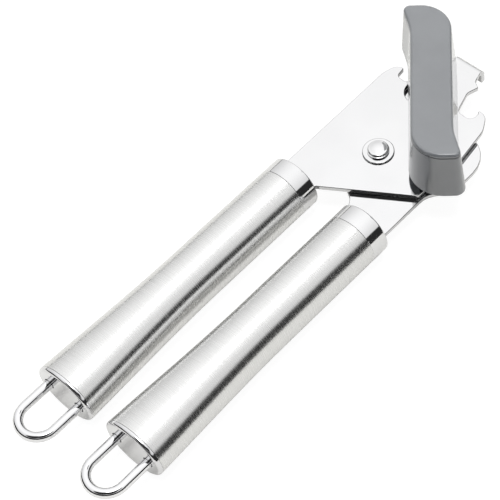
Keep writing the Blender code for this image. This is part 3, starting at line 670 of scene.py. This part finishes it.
rivet_steel = polished("polished rivet steel", (0.72, 0.72, 0.725), 0.06, 0.06)
low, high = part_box("pivot_rivet")
centre = node_centre("pivot_rivet")
base = high.z - RIVET_HEAD_HEIGHT
crown_radius = RIVET_HEAD_RADIUS - RIVET_SHOULDER
foot_radius = RIVET_HEAD_RADIUS + RIVET_FOOT_STEP
profile = [(RIVET_TOP_FLAT, high.z)]
for k in range(1, RIVET_STEPS + 1):
    share = k / RIVET_STEPS
    profile.append((crown_radius * share, high.z - RIVET_CROWN * share**2))
for k in range(1, RIVET_STEPS + 1):
    a = pi / 2 * k / RIVET_STEPS
    drop = RIVET_CROWN + RIVET_SHOULDER * (1 - cos(a))
    profile.append((crown_radius + RIVET_SHOULDER * sin(a), high.z - drop))
profile += [
    (RIVET_HEAD_RADIUS, base + RIVET_FOOT_HEIGHT + RIVET_FOOT_SLOPE),
    (foot_radius, base + RIVET_FOOT_HEIGHT),
    (foot_radius, base),
    (RIVET_SHANK_RADIUS, base),
    (RIVET_SHANK_RADIUS, low.z + RIVET_TAIL_HEIGHT),
    (RIVET_TAIL_RADIUS, low.z + RIVET_TAIL_HEIGHT),
    (RIVET_TAIL_RADIUS, low.z + RIVET_TAIL_TAPER),
    (RIVET_TAIL_RADIUS * 0.8, low.z + RIVET_TAIL_FACE),
    (RIVET_TAIL_FACE, low.z),
]
builder = bmesh.new()
turned(builder, centre, profile)
piece("rivet", builder, rivet_steel, "drive_half", "rivet_steel", "pivot_rivet")

# Painted shade: the washers' chamfers get a mid-grey colour.
washer_steel = plate_steel("bright washer steel", 0.35, 0.55)
for name in ("upper_pivot_washer", "lower_pivot_washer"):
    softened(f"{name}_bright", name, WASHER_BREAK, washer_steel, "drive_half", "washer_steel")


# ------------------------------------------------------------------ turning key
# The key is moulded in grey plastic with a satin gloss and pressed on the axle's square head. Its
# flat top has a rounded edge, one corner of each end is swept round and the other is drawn out,
# and the sides have a slight draft.

KEY_ANGLE = radians(40.6)
KEY_HALF_LENGTH = 33.4 * MM
KEY_HALF_WIDTH = 7.1 * MM
KEY_TIP_REACH = 2.8 * MM
KEY_FLARE_LENGTH = 11.2 * MM
KEY_EDGE = 1.2 * MM
KEY_SWEPT_CORNER = 11.0 * MM
KEY_TIP_CORNER = 2.2 * MM
KEY_FLARE_CORNER = 20.0 * MM
KEY_EDGE_STEPS = 6
KEY_SEAM = 0.4 * MM
KEY_SEAM_DROP = 0.5 * MM
KEY_SEAM_HEIGHT = 0.42 * MM
KEY_SEAM_FLANK = 0.04 * MM
KEY_FOOT = 0.15 * MM
KEY_DRAFT = 1.3 * MM
KEY_WALL = 2.3 * MM
KEY_END_WALL = 3.8 * MM
KEY_POCKET_DEPTH = 14.0 * MM


def outline(corners, step=radians(5)):
    """Points of a closed outline of (x, y, radius) corners, each rounded by its own arc."""
    points = []
    for index, (x, y, radius) in enumerate(corners):
        here = Vector((x, y))
        before = (Vector(corners[index - 1][:2]) - here).normalized()
        after = (Vector(corners[(index + 1) % len(corners)][:2]) - here).normalized()
        half_angle = before.angle(after) / 2
        reach = radius / tan(half_angle)
        middle = here + (before + after).normalized() * radius / sin(half_angle)
        start = here + before * reach - middle
        sweep = start.angle_signed(here + after * reach - middle)
        count = max(1, ceil(abs(sweep) / step - 0.01))
        for k in range(count + 1):
            points.append(middle + Matrix.Rotation(-sweep * k / count, 2) @ start)
    return points


def grown(corners, distance):
    """The same corners with every side moved outwards, for corners that run counter-clockwise."""
    result = []
    for index, (x, y, radius) in enumerate(corners):
        here = Vector((x, y))
        along = (here - Vector(corners[index - 1][:2])).normalized()
        onward = (Vector(corners[(index + 1) % len(corners)][:2]) - here).normalized()
        out_before = Vector((along.y, -along.x))
        out_after = Vector((onward.y, -onward.x))
        shift = (out_before + out_after) / (1 + out_before.dot(out_after))
        convex = along.x * onward.y - along.y * onward.x > 0
        rounding = radius + distance if convex else radius - distance
        result.append((*(here + shift * distance), rounding))
    return result


tip = KEY_HALF_WIDTH + KEY_TIP_REACH
one_end = [
    (-KEY_HALF_LENGTH, KEY_HALF_WIDTH, KEY_SWEPT_CORNER),
    (-KEY_HALF_LENGTH, -tip, KEY_TIP_CORNER),
    (KEY_FLARE_LENGTH - KEY_HALF_LENGTH, -KEY_HALF_WIDTH, KEY_FLARE_CORNER),
]
rim = one_end + [(-x, -y, radius) for x, y, radius in one_end]
low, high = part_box("turning_key")
spin = Matrix.Rotation(KEY_ANGLE, 4, "Z")
centre = node_centre("drive_axle")
seam = high.z - KEY_EDGE - KEY_SEAM_DROP
seam_top = seam + KEY_SEAM_HEIGHT
# Levels are (growth of the rim's outline, height), from the foot up to the top's rounded edge.
levels = [
    (KEY_DRAFT - KEY_FOOT, low.z),
    (KEY_DRAFT, low.z + KEY_FOOT),
    (0.0, seam),
    (-KEY_SEAM, seam + KEY_SEAM_FLANK),
    (-KEY_SEAM, seam_top - KEY_SEAM_FLANK),
    (0.0, seam_top),
    (0.0, high.z - KEY_EDGE),
]
for k in range(1, KEY_EDGE_STEPS + 1):
    a = pi / 2 * k / KEY_EDGE_STEPS
    levels.append((-KEY_EDGE * (1 - cos(a)), high.z - KEY_EDGE * (1 - sin(a))))
rings = []
for growth, height in levels:
    points = outline(grown(rim, growth))
    rings.append([Vector((centre.x, centre.y, height)) + spin @ p.to_3d() for p in points])
builder = bmesh.new()
skin(builder, rings, False)

key_plastic, shader, start = surface("grey key plastic", (0.154, 0.164, 0.175), 0.3, 0.0)
where = start.node("ShaderNodeTexCoord", out="Object")
cloud = where.noise(70.0, 4.0)
grain = where.noise(2400.0, 3.0)
shader.inputs["Specular IOR Level"].default_value = 0.4
shader.inputs["Coat Weight"].default_value = 0.9
shader.inputs["Coat IOR"].default_value = 1.9
shader.inputs["Coat Roughness"].default_value = 0.09
feed(
    shader,
    Base_Color=cloud.between(0.3, 0.7).mix((0.145, 0.154, 0.165, 1), (0.163, 0.173, 0.185, 1)),
    Roughness=0.26 + 0.08 * cloud + 0.05 * grain,
    Normal=start.bump(grain, 0.06),
)
key = piece("key", builder, key_plastic, "drive_train", "key_plastic", "turning_key")

AXLE_SQUARE = 5.0 * MM
PRESS_GAP = 0.3 * MM
KEY_SOCKET_DEPTH = 15.0 * MM
POCKET_CORNER = 1.0 * MM
SOCKET_CORNER = 0.2 * MM


def core(name, left, right, half, depth, corner):
    """Cores a rounded pocket out of the key's underside, in the key's own axes."""
    corners = [(left, -half), (right, -half), (right, half), (left, half)]
    points = outline([(x, y, corner) for x, y in corners], radians(15))
    builder = bmesh.new()
    rings = []
    for height in (low.z - MM, low.z + depth):
        foot = Vector((centre.x, centre.y, height))
        rings.append([foot + spin @ p.to_3d() for p in points])
    skin(builder, rings, False)
    drill(key, hidden(name, builder))


boss = AXLE_SQUARE / 2 + KEY_WALL
pocket_end = KEY_HALF_LENGTH - KEY_END_WALL
rib = (boss + pocket_end) / 2
half_rib = KEY_WALL / 4
inside = KEY_HALF_WIDTH - KEY_WALL
for number, (near, far) in enumerate(((boss, rib - half_rib), (rib + half_rib, pocket_end))):
    for side in (-1, 1):
        name = f"key_pocket_core_{side + 1}_{number}"
        left, right = sorted((side * near, side * far))
        core(name, left, right, inside, KEY_POCKET_DEPTH, POCKET_CORNER)
half_socket = AXLE_SQUARE / 2 + PRESS_GAP
core("key_socket_core", -half_socket, half_socket, half_socket, KEY_SOCKET_DEPTH, SOCKET_CORNER)


# ------------------------------------------------------------------ inner works
# Axle, bush, wheels, stud, spacer, washers, tang blocks and pins keep their CAD shapes and get
# the finish of the real pieces: ground steel, hardened wheels, sintered bronze, black nylon.

ground = polished("ground steel", (0.50, 0.50, 0.52), 0.22, 0.10)
hardened = polished("hardened wheel steel", (0.55, 0.55, 0.57), 0.20, 0.12)
bronze = polished("sintered bronze", (0.55, 0.38, 0.18), 0.35, 0.10)
nylon, shader, start = surface("black nylon", (0.04, 0.04, 0.045), 0.5, 0.0)
where = start.node("ShaderNodeTexCoord", out="Object")
grain = where.noise(900.0, 4.0)
feed(
    shader,
    Base_Color=grain.mix((0.03, 0.03, 0.033, 1), (0.05, 0.05, 0.055, 1)),
    Roughness=0.42 + 0.2 * grain,
)
FINISH_OF = {
    "drive_axle": ground,
    "drive_tang_pin": ground,
    "cutter_tang_pin": ground,
    "cutter_stud": ground,
    "cutter_spacer": ground,
    "wave_washer": ground,
    "feed_wheel_washer": ground,
    "feed_wheel": hardened,
    "cutter_wheel": hardened,
    "axle_bush": bronze,
    "drive_tang_block": nylon,
    "cutter_tang_block": nylon,
}
for node, material in FINISH_OF.items():
    mesh = frame["nodes"][node].data
    mesh.materials.clear()
    mesh.materials.append(material)


bpy.context.view_layer.update()
low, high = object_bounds()
